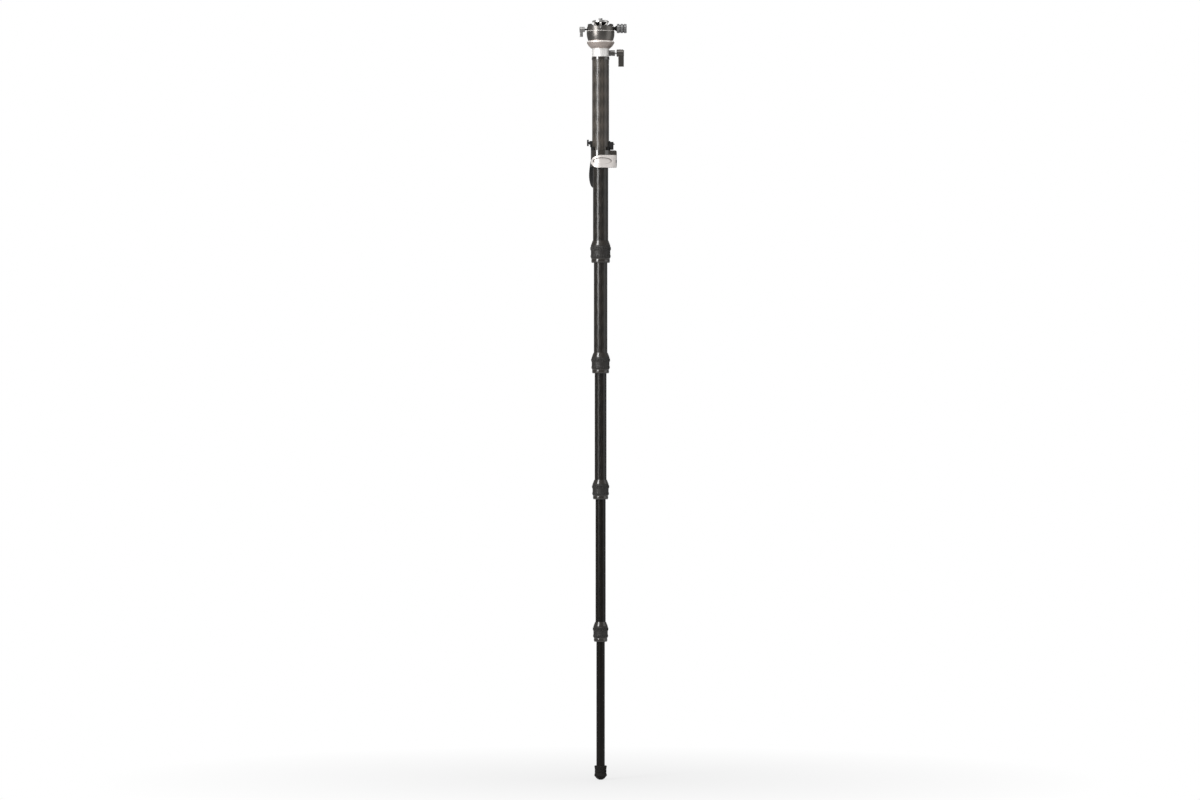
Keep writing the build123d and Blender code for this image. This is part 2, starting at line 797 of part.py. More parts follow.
# Thumb screw in the left lug, with a fluted head
with BuildPart() as shroud_thumb_screw:
    turned_across([
        (thumb_shaft_tip, 0),
        (thumb_shaft_tip, thumb_shaft_radius),
        (thumb_head_inner, thumb_shaft_radius),
        (thumb_head_inner, thumb_head_radius),
        (thumb_head_reach, thumb_head_radius),
        (thumb_head_reach, 0),
    ], thumb_axis, -1)
    with BuildSketch(Plane.YZ.offset(-thumb_head_reach)):
        with Locations((0, thumb_axis)):
            with PolarLocations(thumb_head_radius + thumb_flute_radius / 2, thumb_flute_count):
                Circle(thumb_flute_radius)
    extrude(amount=thumb_head_reach - thumb_head_inner, mode=Mode.SUBTRACT)
keep("shroud_thumb_screw", shroud_thumb_screw)

# The pin between the shroud's two rear ears, and the strap that hangs on it
with BuildPart() as strap_pin:
    with BuildSketch(strap_plane.offset(-strap_lug_half)):
        with Locations((strap_pin_reach, strap_pin_level)):
            Circle(strap_pin_radius)
    extrude(amount=strap_lug_half * 2)
keep("strap_pin", strap_pin)

with BuildPart() as wrist_strap:
    with BuildSketch(strap_plane.offset(-strap_width / 2)):
        with BuildLine():
            FilletPolyline(
                (strap_inner, strap_pin_level + strap_eye),
                (strap_pin_reach + strap_eye, strap_pin_level + strap_eye),
                (strap_pin_reach + strap_eye, strap_pin_level - strap_neck_drop),
                (strap_bulge_out, strap_pin_level - strap_bulge_drop),
                (strap_bulge_out, strap_pin_level - strap_hip_drop),
                (strap_belly_out, strap_pin_level - strap_belly_drop),
                (strap_bottom_out, strap_pin_level - strap_bottom_drop),
                (strap_inner, strap_pin_level - strap_inner_drop),
                radius=[strap_eye_bend, strap_eye_bend, strap_bend, strap_bend, strap_bend,
                        strap_bend, strap_tight_bend, strap_inner_bend],
                close=True,
            )
        make_face()
        offset(amount=-strap_thickness, mode=Mode.SUBTRACT)
    extrude(amount=strap_width)
keep("wrist_strap", wrist_strap)

# Silver collar bonded into the top tube, and the dark trim ring round the tube's end
with BuildPart() as neck_collar:
    turned([
        (0, collar_bottom - collar_plug_length),
        (top_radius - tube_wall, collar_bottom - collar_plug_length),
        (top_radius - tube_wall, collar_bottom),
        (collar_radius - collar_chamfer, collar_bottom),
        (collar_radius, collar_bottom + collar_chamfer),
        (collar_radius, bowl_bottom - end_gap),
        (collar_wall_radius, bowl_bottom - end_gap),
        (collar_wall_radius, collar_bottom + collar_floor),
        (0, collar_bottom + collar_floor),
    ])
    release_axis = collar_bottom + release_height
    turned_across([
        (collar_wall_radius - overrun, 0),
        (collar_wall_radius - overrun, release_screw_radius + running_gap),
        (collar_radius + overrun, release_screw_radius + running_gap),
        (collar_radius + overrun, 0),
    ], release_axis, 1, Mode.SUBTRACT)
    turned_across([
        (release_boss_start, 0),
        (release_boss_start, release_boss_radius),
        (collar_radius + overrun, release_boss_radius),
        (collar_radius + overrun, 0),
    ], release_axis, 1, Mode.SUBTRACT)
keep("neck_collar", neck_collar)

with BuildPart() as tube_trim_ring:
    with BuildSketch(Plane.XY.offset(collar_bottom - trim_height)):
        Circle(trim_radius)
        Circle(top_radius, mode=Mode.SUBTRACT)
    extrude(amount=trim_height)
    chamfer(tube_trim_ring.edges().filter_by(GeomType.CIRCLE).group_by(SortBy.RADIUS)[-1],
            length=collar_chamfer)
keep("tube_trim_ring", tube_trim_ring)

# Release lever: threaded boss in the collar, screw, and a lever on the screw's end
with BuildPart() as release_boss:
    turned_across([
        (release_boss_start, release_screw_radius + running_gap),
        (release_boss_start, release_boss_radius),
        (release_boss_neck_at, release_boss_radius),
        (release_boss_neck_at, release_boss_radius - release_boss_neck),
        (release_boss_neck_at + release_boss_neck, release_boss_radius - release_boss_neck),
        (release_boss_neck_at + release_boss_neck, release_boss_radius),
        (release_boss_end, release_boss_radius),
        (release_boss_end, release_screw_radius + running_gap),
    ], release_axis, 1)
keep("release_boss", release_boss)

with BuildPart() as release_screw:
    turned_across([
        (release_screw_tip, 0),
        (release_screw_tip, release_screw_radius),
        (release_hub_inner, release_screw_radius),
        (release_hub_inner, 0),
    ], release_axis, 1)
keep("release_screw", release_screw)


def lever_arm(side, inner, outer, axis_height, drop, half, fillet_radius):
    """A flat arm that hangs from a lever's hub, rounded at its four long edges."""
    with BuildSketch(Plane.XY.offset(axis_height - drop)) as arm:
        with Locations((side * (inner + outer) / 2, 0)):
            RectangleRounded(outer - inner, half * 2, fillet_radius)
    extrude(arm.sketch, amount=drop)


with BuildPart() as release_lever:
    turned_across([
        (release_hub_inner, 0),
        (release_hub_inner, release_hub_radius - release_fillet),
        (release_hub_inner + release_fillet, release_hub_radius),
        (release_hub_outer - release_fillet, release_hub_radius),
        (release_hub_outer, release_hub_radius - release_fillet),
        (release_hub_outer, 0),
    ], release_axis, 1)
    lever_arm(1, release_arm_inner, release_arm_outer, release_axis, release_arm_drop,
              release_arm_half, release_fillet)
keep("release_lever", release_lever)

# Bowl with the spigot that the collar holds
with BuildPart() as base_bowl:
    turned([
        (bowl_bolt_hole, bowl_bottom - spigot_length),
        (collar_wall_radius - running_gap, bowl_bottom - spigot_length),
        (collar_wall_radius - running_gap, bowl_bottom),
        (bowl_low_radius, bowl_bottom),
        (bowl_mid_radius, bowl_bottom + bowl_mid_height),
        (bowl_rim_radius - bowl_rim_flare, bowl_bottom + bowl_rim_low),
        (bowl_rim_radius, bowl_bottom + bowl_rim_low + bowl_rim_chamfer),
        (bowl_rim_radius, bowl_top - bowl_rim_chamfer),
        (bowl_rim_radius - bowl_rim_chamfer, bowl_top),
        (bowl_land_radius, bowl_top),
        (bowl_land_radius, cup_bottom),
        (bowl_bolt_hole, cup_bottom),
    ])
    turned_across([
        (release_screw_tip - end_gap, 0),
        (release_screw_tip - end_gap, release_screw_radius + running_gap),
        (release_screw_tip + overrun, release_screw_radius + running_gap),
        (release_screw_tip + overrun, 0),
    ], release_axis, 1, Mode.SUBTRACT)
keep("base_bowl", base_bowl)

# Dark cup, with an inner spigot that the pan ring turns on
scale_bottom = cup_top - scale_drop
with BuildPart() as cup_housing:
    with BuildSketch(Plane.XZ) as section:
        with BuildLine():
            ThreePointArc(
                (cup_bottom_radius, cup_bottom + cup_bottom_edge),
                (cup_belly_radius, cup_bottom + cup_belly_height),
                (cup_top_radius, scale_bottom - scale_height),
            )
            Polyline(
                (cup_top_radius, scale_bottom - scale_height),
                (cup_top_radius, scale_bottom),
                (cup_spigot_radius + pan_groove_gap, scale_bottom),
                (cup_spigot_radius + pan_groove_gap, cup_top),
                (cup_spigot_radius, cup_top),
                (cup_spigot_radius, cup_top + cup_spigot_top),
                (cup_bore_radius, cup_top + cup_spigot_top),
                (cup_bore_radius, cup_bottom + cup_floor),
                (pan_bolt_radius, cup_bottom + cup_floor),
                (pan_bolt_radius, cup_bottom),
                (cup_bottom_radius - cup_bottom_edge, cup_bottom),
                (cup_bottom_radius, cup_bottom + cup_bottom_edge),
            )
        make_face()
    revolve(axis=Axis.Z)
keep("cup_housing", cup_housing)

with BuildPart() as degree_scale_ring:
    turned([
        (cup_spigot_radius + pan_groove_gap, scale_bottom),
        (cup_top_radius, scale_bottom),
        (cup_top_radius, cup_top),
        (cup_spigot_radius + pan_groove_gap, cup_top),
    ])
    with BuildSketch(Plane.XY.offset(scale_bottom)):
        with PolarLocations(cup_top_radius, scale_tick_count):
            Rectangle(scale_tick_depth * 2, scale_tick_width)
    extrude(amount=scale_drop, mode=Mode.SUBTRACT)
keep("degree_scale_ring", degree_scale_ring)

with BuildPart() as pan_washer:
    with BuildSketch(Plane.XY.offset(cup_top)):
        Circle(washer_outer)
        Circle(washer_inner, mode=Mode.SUBTRACT)
    extrude(amount=washer_height + washer_recess)
keep("pan_washer", pan_washer)

# Shoulder bolt that holds the pan parts down on the cup and the cup on the bowl
retainer_low = cup_bottom + cup_floor + end_gap
retainer_top = retainer_low + retainer_height
with BuildPart() as pan_bolt:
    turned([
        (0, bowl_bottom - spigot_length + pan_bolt_tip),
        (pan_bolt_radius, bowl_bottom - spigot_length + pan_bolt_tip),
        (pan_bolt_radius, retainer_top + end_gap),
        (pan_bolt_head, retainer_top + end_gap),
        (pan_bolt_head, retainer_top + end_gap + pan_bolt_head_height),
        (0, retainer_top + end_gap + pan_bolt_head_height),
    ])
keep("pan_bolt", pan_bolt)

with BuildPart() as socket_retainer:
    turned([
        (retainer_bore, retainer_low),
        (socket_wall_radius, retainer_low),
        (socket_wall_radius, retainer_top),
        (retainer_bore, retainer_top),
    ])
keep("socket_retainer", socket_retainer)

# Pan ring: socket for the ball, groove for the cup's spigot, two lobes and the index dot
socket_radius = ball_radius + ball_gap + liner_thickness + ball_gap
lip_radius = sqrt(socket_radius ** 2 - lip_height ** 2)
level_axis = cup_top + knob_height
pan_lever_axis = cup_top + pan_lever_height
lobe_foot = pan_ring_top - pan_ring_chamfer * 2
lobe_top = cup_top + lobe_height
with BuildPart() as lobes:
    turned([
        (0, lobe_foot),
        (pan_ring_radius - lobe_shoulder, lobe_foot),
        (pan_ring_radius - lobe_shoulder, pan_ring_top - pan_ring_chamfer),
        (lobe_outer, lobe_top),
        (0, lobe_top),
    ])
    with BuildSketch(Plane.XZ.offset(-pan_ring_radius)) as saddle:
        with BuildLine():
            ThreePointArc(
                (-lobe_saddle, pan_ring_top),
                (-lobe_inner + (lobe_inner - lobe_saddle) * lobe_saddle_share,
                 pan_ring_top + (lobe_top - pan_ring_top) * lobe_saddle_share),
                (-lobe_inner, lobe_top),
            )
            Line((-lobe_inner, lobe_top), (lobe_inner, lobe_top))
            ThreePointArc(
                (lobe_inner, lobe_top),
                (lobe_inner - (lobe_inner - lobe_saddle) * lobe_saddle_share,
                 pan_ring_top + (lobe_top - pan_ring_top) * lobe_saddle_share),
                (lobe_saddle, pan_ring_top),
            )
            Polyline(
                (lobe_saddle, pan_ring_top),
                (lobe_saddle, lobe_foot),
                (-lobe_saddle, lobe_foot),
                (-lobe_saddle, pan_ring_top),
            )
        make_face()
    extrude(saddle.sketch, amount=pan_ring_radius * 2, mode=Mode.SUBTRACT)
with BuildPart() as pan_ring:
    turned([
        (0, retainer_top),
        (socket_wall_radius, retainer_top),
        (socket_wall_radius, pan_ring_bottom + pan_groove_top),
        (cup_spigot_radius + pan_groove_gap, pan_ring_bottom + pan_groove_top),
        (cup_spigot_radius + pan_groove_gap, cup_top + washer_height + washer_recess),
        (washer_outer + pan_groove_gap, cup_top + washer_height + washer_recess),
        (washer_outer + pan_groove_gap, pan_ring_bottom),
        (pan_ring_radius, pan_ring_bottom),
        (pan_ring_radius, pan_ring_top - pan_ring_chamfer),
        (pan_ring_radius - pan_ring_chamfer, pan_ring_top),
        (0, pan_ring_top),
    ])
    add(lobes.part)
    with BuildSketch(Plane.XZ) as socket:
        with BuildLine():
            Line((0, ball_centre), (socket_radius, ball_centre))
            arc_middle = sqrt(socket_radius ** 2 - (lip_height / 2) ** 2)
            ThreePointArc(
                (socket_radius, ball_centre),
                (arc_middle, ball_centre + lip_height / 2),
                (lip_radius, ball_centre + lip_height),
            )
            Polyline(
                (lip_radius, ball_centre + lip_height),
                (mouth_radius, pan_ring_top),
                (mouth_radius, pan_ring_top + lobe_height),
                (0, pan_ring_top + lobe_height),
                (0, ball_centre),
            )
        make_face()
    revolve(axis=Axis.Z, mode=Mode.SUBTRACT)
    turned([
        (0, retainer_top - overrun),
        (socket_radius, retainer_top - overrun),
        (socket_radius, ball_centre),
        (0, ball_centre),
    ], Mode.SUBTRACT)
    turned_across([
        (0, 0),
        (0, shoe_radius),
        (level_shoe_tip + shoe_length, shoe_radius),
        (level_shoe_tip + shoe_length, knob_screw_radius + running_gap),
        (pan_ring_radius + overrun, knob_screw_radius + running_gap),
        (pan_ring_radius + overrun, 0),
    ], level_axis, 1, Mode.SUBTRACT)
    turned_across([
        (cup_spigot_radius, 0),
        (cup_spigot_radius, pan_lever_shaft_radius + running_gap),
        (pan_ring_radius + overrun, pan_lever_shaft_radius + running_gap),
        (pan_ring_radius + overrun, 0),
    ], pan_lever_axis, -1, Mode.SUBTRACT)
    with BuildSketch(Plane.XZ.offset(pan_ring_radius)):
        with Locations((0, cup_top + index_dot_height)):
            Circle(index_dot_radius)
    extrude(amount=-index_dot_depth, mode=Mode.SUBTRACT)
keep("pan_ring", pan_ring)

# Brass shoes: one presses the ball, the other the cup's spigot
with BuildPart() as lock_shoes:
    turned_across([
        (level_shoe_tip, 0),
        (level_shoe_tip, shoe_radius),
        (level_shoe_tip + shoe_length, shoe_radius),
        (level_shoe_tip + shoe_length, 0),
    ], level_axis, 1)
    turned_across([
        (pan_shoe_tip, 0),
        (pan_shoe_tip, pan_lever_shaft_radius),
        (pan_shoe_tip + pan_shoe_length, pan_lever_shaft_radius),
        (pan_shoe_tip + pan_shoe_length, 0),
    ], pan_lever_axis, -1)
keep("lock_shoes", lock_shoes)

# Friction liner: the floating shell between the ball and its socket
liner_inner = ball_radius + ball_gap
liner_outer = liner_inner + liner_thickness
with BuildPart() as friction_liner:
    with BuildSketch(Plane.XZ) as shell:
        with BuildLine():
            outer = ThreePointArc(
                (liner_outer, ball_centre),
                (sqrt(liner_outer ** 2 - (liner_top / 2) ** 2), ball_centre + liner_top / 2),
                (sqrt(liner_outer ** 2 - liner_top ** 2), ball_centre + liner_top),
            )
            inner = ThreePointArc(
                (liner_inner, ball_centre),
                (sqrt(liner_inner ** 2 - (liner_top / 2) ** 2), ball_centre + liner_top / 2),
                (sqrt(liner_inner ** 2 - liner_top ** 2), ball_centre + liner_top),
            )
            Line(outer @ 0, inner @ 0)
            Line(outer @ 1, inner @ 1)
        make_face()
    revolve(axis=Axis.Z)
keep("friction_liner", friction_liner)

with BuildPart() as levelling_half_ball:
    with BuildSketch(Plane.XZ) as dome:
        with BuildLine():
            cap_radius = sqrt(ball_radius ** 2 - ball_top ** 2)
            ThreePointArc(
                (ball_radius, ball_centre),
                (sqrt(ball_radius ** 2 - (ball_top / 2) ** 2), ball_centre + ball_top / 2),
                (cap_radius, ball_centre + ball_top),
            )
            Polyline(
                (cap_radius, ball_centre + ball_top),
                (0, ball_centre + ball_top),
                (0, ball_centre),
                (ball_radius, ball_centre),
            )
        make_face()
    revolve(axis=Axis.Z)
keep("levelling_half_ball", levelling_half_ball)

# Ribbed neck between the ball and the platform
neck_bottom = ball_centre + ball_top
platform_bottom = ball_centre + platform_rise
with BuildPart() as platform_neck:
    turned([
        (0, neck_bottom),
        (neck_radius, neck_bottom),
        (neck_radius, neck_bottom + neck_base_height),
        (neck_stem_radius, neck_bottom + neck_base_height),
        (neck_core_radius, platform_bottom),
        (0, platform_bottom),
    ])
    for rib in range(rib_count):
        turn = 360 * (rib + 0.5) / rib_count
        rib_plane = Plane(
            origin=(0, 0, 0),
            x_dir=(cos(radians(turn)), sin(radians(turn)), 0),
            z_dir=(sin(radians(turn)), -cos(radians(turn)), 0),
        )
        with BuildSketch(rib_plane.offset(-rib_half)):
            with BuildLine():
                Polyline(
                    (0, neck_bottom + neck_base_height / 2),
                    (neck_radius, neck_bottom + neck_base_height / 2),
                    (rib_outer, platform_bottom - rib_flange),
                    (rib_outer, platform_bottom),
                    (0, platform_bottom),
                    close=True,
                )
            make_face()
        extrude(amount=rib_half * 2)
keep("platform_neck", platform_neck)

platform_top = platform_bottom + platform_height
with BuildPart() as platform_disc:
    turned([
        (screw_shank_radius, platform_bottom),
        (platform_radius - platform_chamfer, platform_bottom),
        (platform_radius, platform_bottom + platform_chamfer),
        (platform_radius, platform_top - platform_chamfer),
        (platform_radius - platform_chamfer, platform_top),
        (pad_outer, platform_top),
        (pad_outer, platform_top - pad_recess),
        (pad_inner, platform_top - pad_recess),
        (pad_inner, platform_top),
        (screw_shank_radius, platform_top),
    ])
keep("platform_disc", platform_disc)

with BuildPart() as platform_pad:
    with BuildSketch(Plane.XY.offset(platform_top - pad_recess)):
        Circle(pad_outer)
        Circle(pad_inner, mode=Mode.SUBTRACT)
    extrude(amount=pad_height)
keep("platform_pad", platform_pad)

with BuildPart() as camera_screw:
    turned([
        (0, platform_bottom),
        (screw_shank_radius, platform_bottom),
        (screw_shank_radius, platform_top),
        (screw_radius, platform_top),
        (screw_radius, platform_top + screw_reach - screw_tip_chamfer),
        (screw_radius - screw_tip_chamfer, platform_top + screw_reach),
        (0, platform_top + screw_reach),
    ])
keep("camera_screw", camera_screw)

# Level knob: its screw with a cone, and the knurled knob
with BuildPart() as level_screw:
    turned_across([
        (level_shoe_tip + shoe_length + end_gap, 0),
        (level_shoe_tip + shoe_length + end_gap, knob_screw_radius),
        (knob_cone_start, knob_screw_radius),
        (knob_cone_start, knob_cone_small),
        (knob_start, knob_cone_large),
        (knob_start, knob_screw_radius),
        (knob_start + knob_screw_bore_depth, knob_screw_radius),
        (knob_start + knob_screw_bore_depth, 0),
    ], level_axis, 1)
keep("level_screw", level_screw)

knob_end = knob_start + knob_length
knob_pitch = knob_length / knob_ring_count
with BuildPart() as level_knob:
    knob_outline = [
        (knob_start + knob_screw_bore_depth, 0),
        (knob_start + knob_screw_bore_depth, knob_screw_radius),
        (knob_start, knob_screw_radius),
        (knob_start, knob_radius - knob_chamfer),
        (knob_start + knob_chamfer, knob_radius),
    ]
    for ring in range(1, knob_ring_count):
        valley = knob_start + knob_pitch * ring
        knob_outline += [
            (valley - knob_ring_half, knob_radius),
            (valley, knob_radius - knob_ring_depth),
            (valley + knob_ring_half, knob_radius),
        ]
    knob_outline += [
        (knob_end - knob_chamfer, knob_radius),
        (knob_end, knob_radius - knob_chamfer),
        (knob_end, knob_cap_radius),
        (knob_end - knob_cap_recess, knob_cap_radius),
        (knob_end - knob_cap_recess, 0),
    ]
    turned_across(knob_outline, level_axis, 1)
    with BuildSketch(Plane.YZ.offset(knob_start)):
        with Locations((0, level_axis)):
            with PolarLocations(knob_radius + knob_groove_radius / 2, knob_groove_count):
                Circle(knob_groove_radius)
    extrude(amount=knob_length, mode=Mode.SUBTRACT)
keep("level_knob", level_knob)

# Pan lever: one turned and milled piece with its own shaft
with BuildPart() as pan_lever:
    turned_across([
        (pan_shoe_tip + pan_shoe_length, 0),
        (pan_shoe_tip + pan_shoe_length, pan_lever_shaft_radius),
        (pan_lever_hub_inner, pan_lever_shaft_radius),
        (pan_lever_hub_inner, pan_lever_hub_radius - pan_lever_fillet),
        (pan_lever_hub_inner + pan_lever_fillet, pan_lever_hub_radius),
        (pan_lever_hub_outer - pan_lever_fillet, pan_lever_hub_radius),
        (pan_lever_hub_outer, pan_lever_hub_radius - pan_lever_fillet),
        (pan_lever_hub_outer, 0),
    ], pan_lever_axis, -1)
    lever_arm(-1, pan_lever_arm_inner, pan_lever_arm_outer, pan_lever_axis, pan_lever_arm_drop,
              pan_lever_arm_half, pan_lever_fillet)
keep("pan_lever", pan_lever)

os.makedirs("parts", exist_ok=True)
for name, part in parts.items():
    export_step(part, f"parts/{name}.step")
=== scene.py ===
import math
import bpy
import bmesh
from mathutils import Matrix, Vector


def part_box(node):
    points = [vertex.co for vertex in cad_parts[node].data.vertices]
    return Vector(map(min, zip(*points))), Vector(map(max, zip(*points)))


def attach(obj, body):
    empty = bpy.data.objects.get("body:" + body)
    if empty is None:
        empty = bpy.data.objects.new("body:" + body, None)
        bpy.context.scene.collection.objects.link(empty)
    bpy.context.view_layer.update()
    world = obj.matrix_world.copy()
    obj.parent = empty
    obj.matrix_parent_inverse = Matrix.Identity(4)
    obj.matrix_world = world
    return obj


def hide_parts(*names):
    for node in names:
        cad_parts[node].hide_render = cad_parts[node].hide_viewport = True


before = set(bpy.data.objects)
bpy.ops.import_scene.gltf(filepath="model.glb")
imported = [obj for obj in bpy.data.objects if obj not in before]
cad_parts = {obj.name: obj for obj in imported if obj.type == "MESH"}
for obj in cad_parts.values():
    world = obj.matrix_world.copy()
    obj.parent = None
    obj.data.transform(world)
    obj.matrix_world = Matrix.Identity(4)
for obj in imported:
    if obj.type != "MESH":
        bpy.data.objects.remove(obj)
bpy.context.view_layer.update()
mm = 0.001

# Studio: a level camera in front of the monopod, far off, so that the tubes keep their sides
# upright as in the photograph. A tall narrow lamp stands at the left over a weak low one, a wide
# soft one at the right, and one each above and behind.
pixel_mm = 2.365
photo_width = 1200
axis_pixel = 600.6
foot_pixel = 779.6
middle_pixel = 400
sensor_mm = 36
lens_mm = 156
camera_distance = lens_mm / sensor_mm * photo_width * pixel_mm * mm
camera_height = (foot_pixel - middle_pixel) * pixel_mm * mm
camera_side = (photo_width / 2 - axis_pixel) * pixel_mm * mm
eye = bpy.data.cameras.new("studio_camera")
eye.sensor_width = sensor_mm
eye.lens = lens_mm
eye.clip_end = camera_distance * 6
camera = bpy.data.objects.new("studio_camera", eye)
bpy.context.scene.collection.objects.link(camera)
camera.location = (camera_side, -camera_distance, camera_height)
camera.rotation_euler = (math.pi / 2, 0, 0)
bpy.context.scene.camera = camera
bpy.context.scene.view_settings.view_transform = "Standard"


def stand_lamp(name, azimuth, height, distance, width, tall, watts):
    """An area lamp that stands round the object and looks at its axis."""
    light = bpy.data.lights.new(name, "AREA")
    light.shape = "RECTANGLE"
    light.size = width
    light.size_y = tall
    light.energy = watts
    lamp = bpy.data.objects.new(name, light)
    bpy.context.scene.collection.objects.link(lamp)
    turn = math.radians(azimuth)
    lamp.location = (distance * math.sin(turn), -distance * math.cos(turn), height)
    aim = Vector((0, 0, camera_height)) - lamp.location
    lamp.rotation_euler = aim.to_track_quat("-Z", "Y").to_euler()


stand_lamp("strip_left", -43, height=2.15, distance=2.6, width=0.95, tall=2.3, watts=64)
stand_lamp("strip_left_low", -43, height=0.7, distance=2.6, width=1.05, tall=0.6, watts=4)
stand_lamp("soft_right", 74, height=1.3, distance=2.8, width=2.2, tall=2.4, watts=12)
stand_lamp("overhead", -20, height=3.5, distance=1.1, width=1.8, tall=1.6, watts=26)
stand_lamp("soft_back", 175, height=2.6, distance=3.0, width=2.0, tall=1.4, watts=36)


class Wire:
    """One socket of a material's nodes, so that shader maths reads as a Python expression."""

    def __init__(self, finish, socket):
        self.finish = finish
        self.socket = socket

    def math(self, operation, *values):
        return self.finish.node("ShaderNodeMath", {"operation": operation}, values)

    def __add__(self, other):
        return self.math("ADD", self, other)

    def __radd__(self, other):
        return self.math("ADD", other, self)

    def __sub__(self, other):
        return self.math("SUBTRACT", self, other)

    def __rsub__(self, other):
        return self.math("SUBTRACT", other, self)

    def __mul__(self, other):
        return self.math("MULTIPLY", self, other)

    def __rmul__(self, other):
        return self.math("MULTIPLY", other, self)

    def __truediv__(self, other):
        return self.math("DIVIDE", self, other)

    def __pow__(self, other):
        return self.math("POWER", self, other)

    def __gt__(self, other):
        return self.math("GREATER_THAN", self, other)

    def sine(self):
        return self.math("SINE", self)

    def size(self):
        return self.math("ABSOLUTE", self)

    def fraction(self):
        return self.math("FRACT", self)

    def clamped(self):
        return self.math("MINIMUM", self.math("MAXIMUM", self, 0.0), 1.0)


class Finish:
    """A material and the one method that adds its nodes."""

    def __init__(self, name):
        self.material = bpy.data.materials.new(name)
        self.material.use_nodes = True
        self.tree = self.material.node_tree
        self.tree.nodes.clear()

    def node(self, kind, settings, inputs, take=0):
        made = self.tree.nodes.new(kind)
        for key, value in settings.items():
            setattr(made, key, value)
        pairs = inputs.items() if isinstance(inputs, dict) else enumerate(inputs)
        for key, value in pairs:
            if isinstance(value, Wire):
                self.tree.links.new(value.socket, made.inputs[key])
            else:
                made.inputs[key].default_value = value
        return Wire(self, made.outputs[take]) if made.outputs else None

    def place(self):
        """The point on the object, in metres, and its x, y and z apart."""
        here = self.node("ShaderNodeTexCoord", {}, {}, "Object")
        split = self.tree.nodes.new("ShaderNodeSeparateXYZ")
        self.tree.links.new(here.socket, split.inputs[0])
        return here, [Wire(self, out) for out in split.outputs]

    def noise(self, here, scale, stretch=(1, 1, 1), detail=3.0):
        moved = self.node("ShaderNodeVectorMath", {"operation": "MULTIPLY"}, [here, stretch])
        inputs = {"Vector": moved, "Scale": scale, "Detail": detail}
        return self.node("ShaderNodeTexNoise", {}, inputs, "Fac")

    def tint(self, mask, first, second):
        """Colour that goes from first to second as mask goes from 0 to 1."""
        return self.node("ShaderNodeMix", {"data_type": "RGBA"}, {0: mask, 6: first, 7: second}, 2)

    def bump(self, height, strength, distance):
        inputs = {"Height": height, "Strength": strength, "Distance": distance}
        return self.node("ShaderNodeBump", {}, inputs)

    def shade(self, **sockets):
        """Ends the material in one Principled shader; a name's underscores are its spaces."""
        named = {key.replace("_", " "): value for key, value in sockets.items()}
        shader = self.node("ShaderNodeBsdfPrincipled", {}, named)
        self.node("ShaderNodeOutputMaterial", {}, {"Surface": shader})

    def wear(self, *names):
        """Puts the material on CAD nodes or on pieces of the scene."""
        for name in names:
            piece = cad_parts.get(name) or bpy.data.objects[name]
            piece.data.materials.clear()
            piece.data.materials.append(self.material)


def grey(level, warm=0.0):
    """A grey with a little warmth, as a colour."""
    return (level * (1 + warm), level, level * (1 - warm), 1)


def link_mesh(name, bm):
    """The object made of bm's faces, in the scene. It ends bm."""
    mesh = bpy.data.meshes.new(name)
    bm.to_mesh(mesh)
    bm.free()
    piece = bpy.data.objects.new(name, mesh)
    bpy.context.scene.collection.objects.link(piece)
    return piece


# Floor: a plain pale sheet that the foot stands on. The camera sees it nearly white, it keeps
# a soft shade round the foot, and it shows only weakly in the glossy tubes.
floor_half = 6.0
floor_shade_share = 0.25
floor_shade_reach = 1.2
floor_mirror_share = 0.3
bm = bmesh.new()
corners = [(-floor_half, -floor_half), (floor_half, -floor_half), (floor_half, floor_half),
           (-floor_half, floor_half)]
bm.faces.new([bm.verts.new((x, y, 0)) for x, y in corners])
floor = link_mesh("studio_floor", bm)
paper = Finish("pale_paper")
seen = paper.node("ShaderNodeLightPath", {}, {}, "Is Camera Ray")
mirrored = paper.node("ShaderNodeLightPath", {}, {}, "Is Glossy Ray")
diffuse = paper.node("ShaderNodeBsdfDiffuse", {}, {"Color": grey(0.5)})
glow = paper.node("ShaderNodeEmission", {}, {"Color": grey(1.0), "Strength": 1.0})
_, (x, y, _) = paper.place()
near_foot = (1 - (x * x + y * y) ** 0.5 / floor_shade_reach).clamped()
glowing = (seen + mirrored * floor_mirror_share).clamped() * (1 - near_foot * floor_shade_share)
paper_mix = paper.node("ShaderNodeMixShader", {}, [glowing, diffuse, glow])
paper.node("ShaderNodeOutputMaterial", {}, {"Surface": paper_mix})
floor.data.materials.append(paper.material)

# Air: white behind the monopod where the camera sees it, and a dim grey light from all round
# on everything else, so that no side is quite black.
air = bpy.data.worlds.new("studio_air")
air.use_nodes = True
air.node_tree.nodes.clear()
air_path = air.node_tree.nodes.new("ShaderNodeLightPath")
air_light = air.node_tree.nodes.new("ShaderNodeBackground")
air_light.inputs["Color"].default_value = grey(0.75)
air_light.inputs["Strength"].default_value = 0.32
air_white = air.node_tree.nodes.new("ShaderNodeBackground")
air_white.inputs["Color"].default_value = grey(1.0)
air_mix = air.node_tree.nodes.new("ShaderNodeMixShader")
air_end = air.node_tree.nodes.new("ShaderNodeOutputWorld")
air_links = [(air_path.outputs["Is Camera Ray"], air_mix.inputs[0]),
             (air_light.outputs[0], air_mix.inputs[1]),
             (air_white.outputs[0], air_mix.inputs[2]),
             (air_mix.outputs[0], air_end.inputs[0])]
for giving, taking in air_links:
    air.node_tree.links.new(giving, taking)
bpy.context.scene.world = air

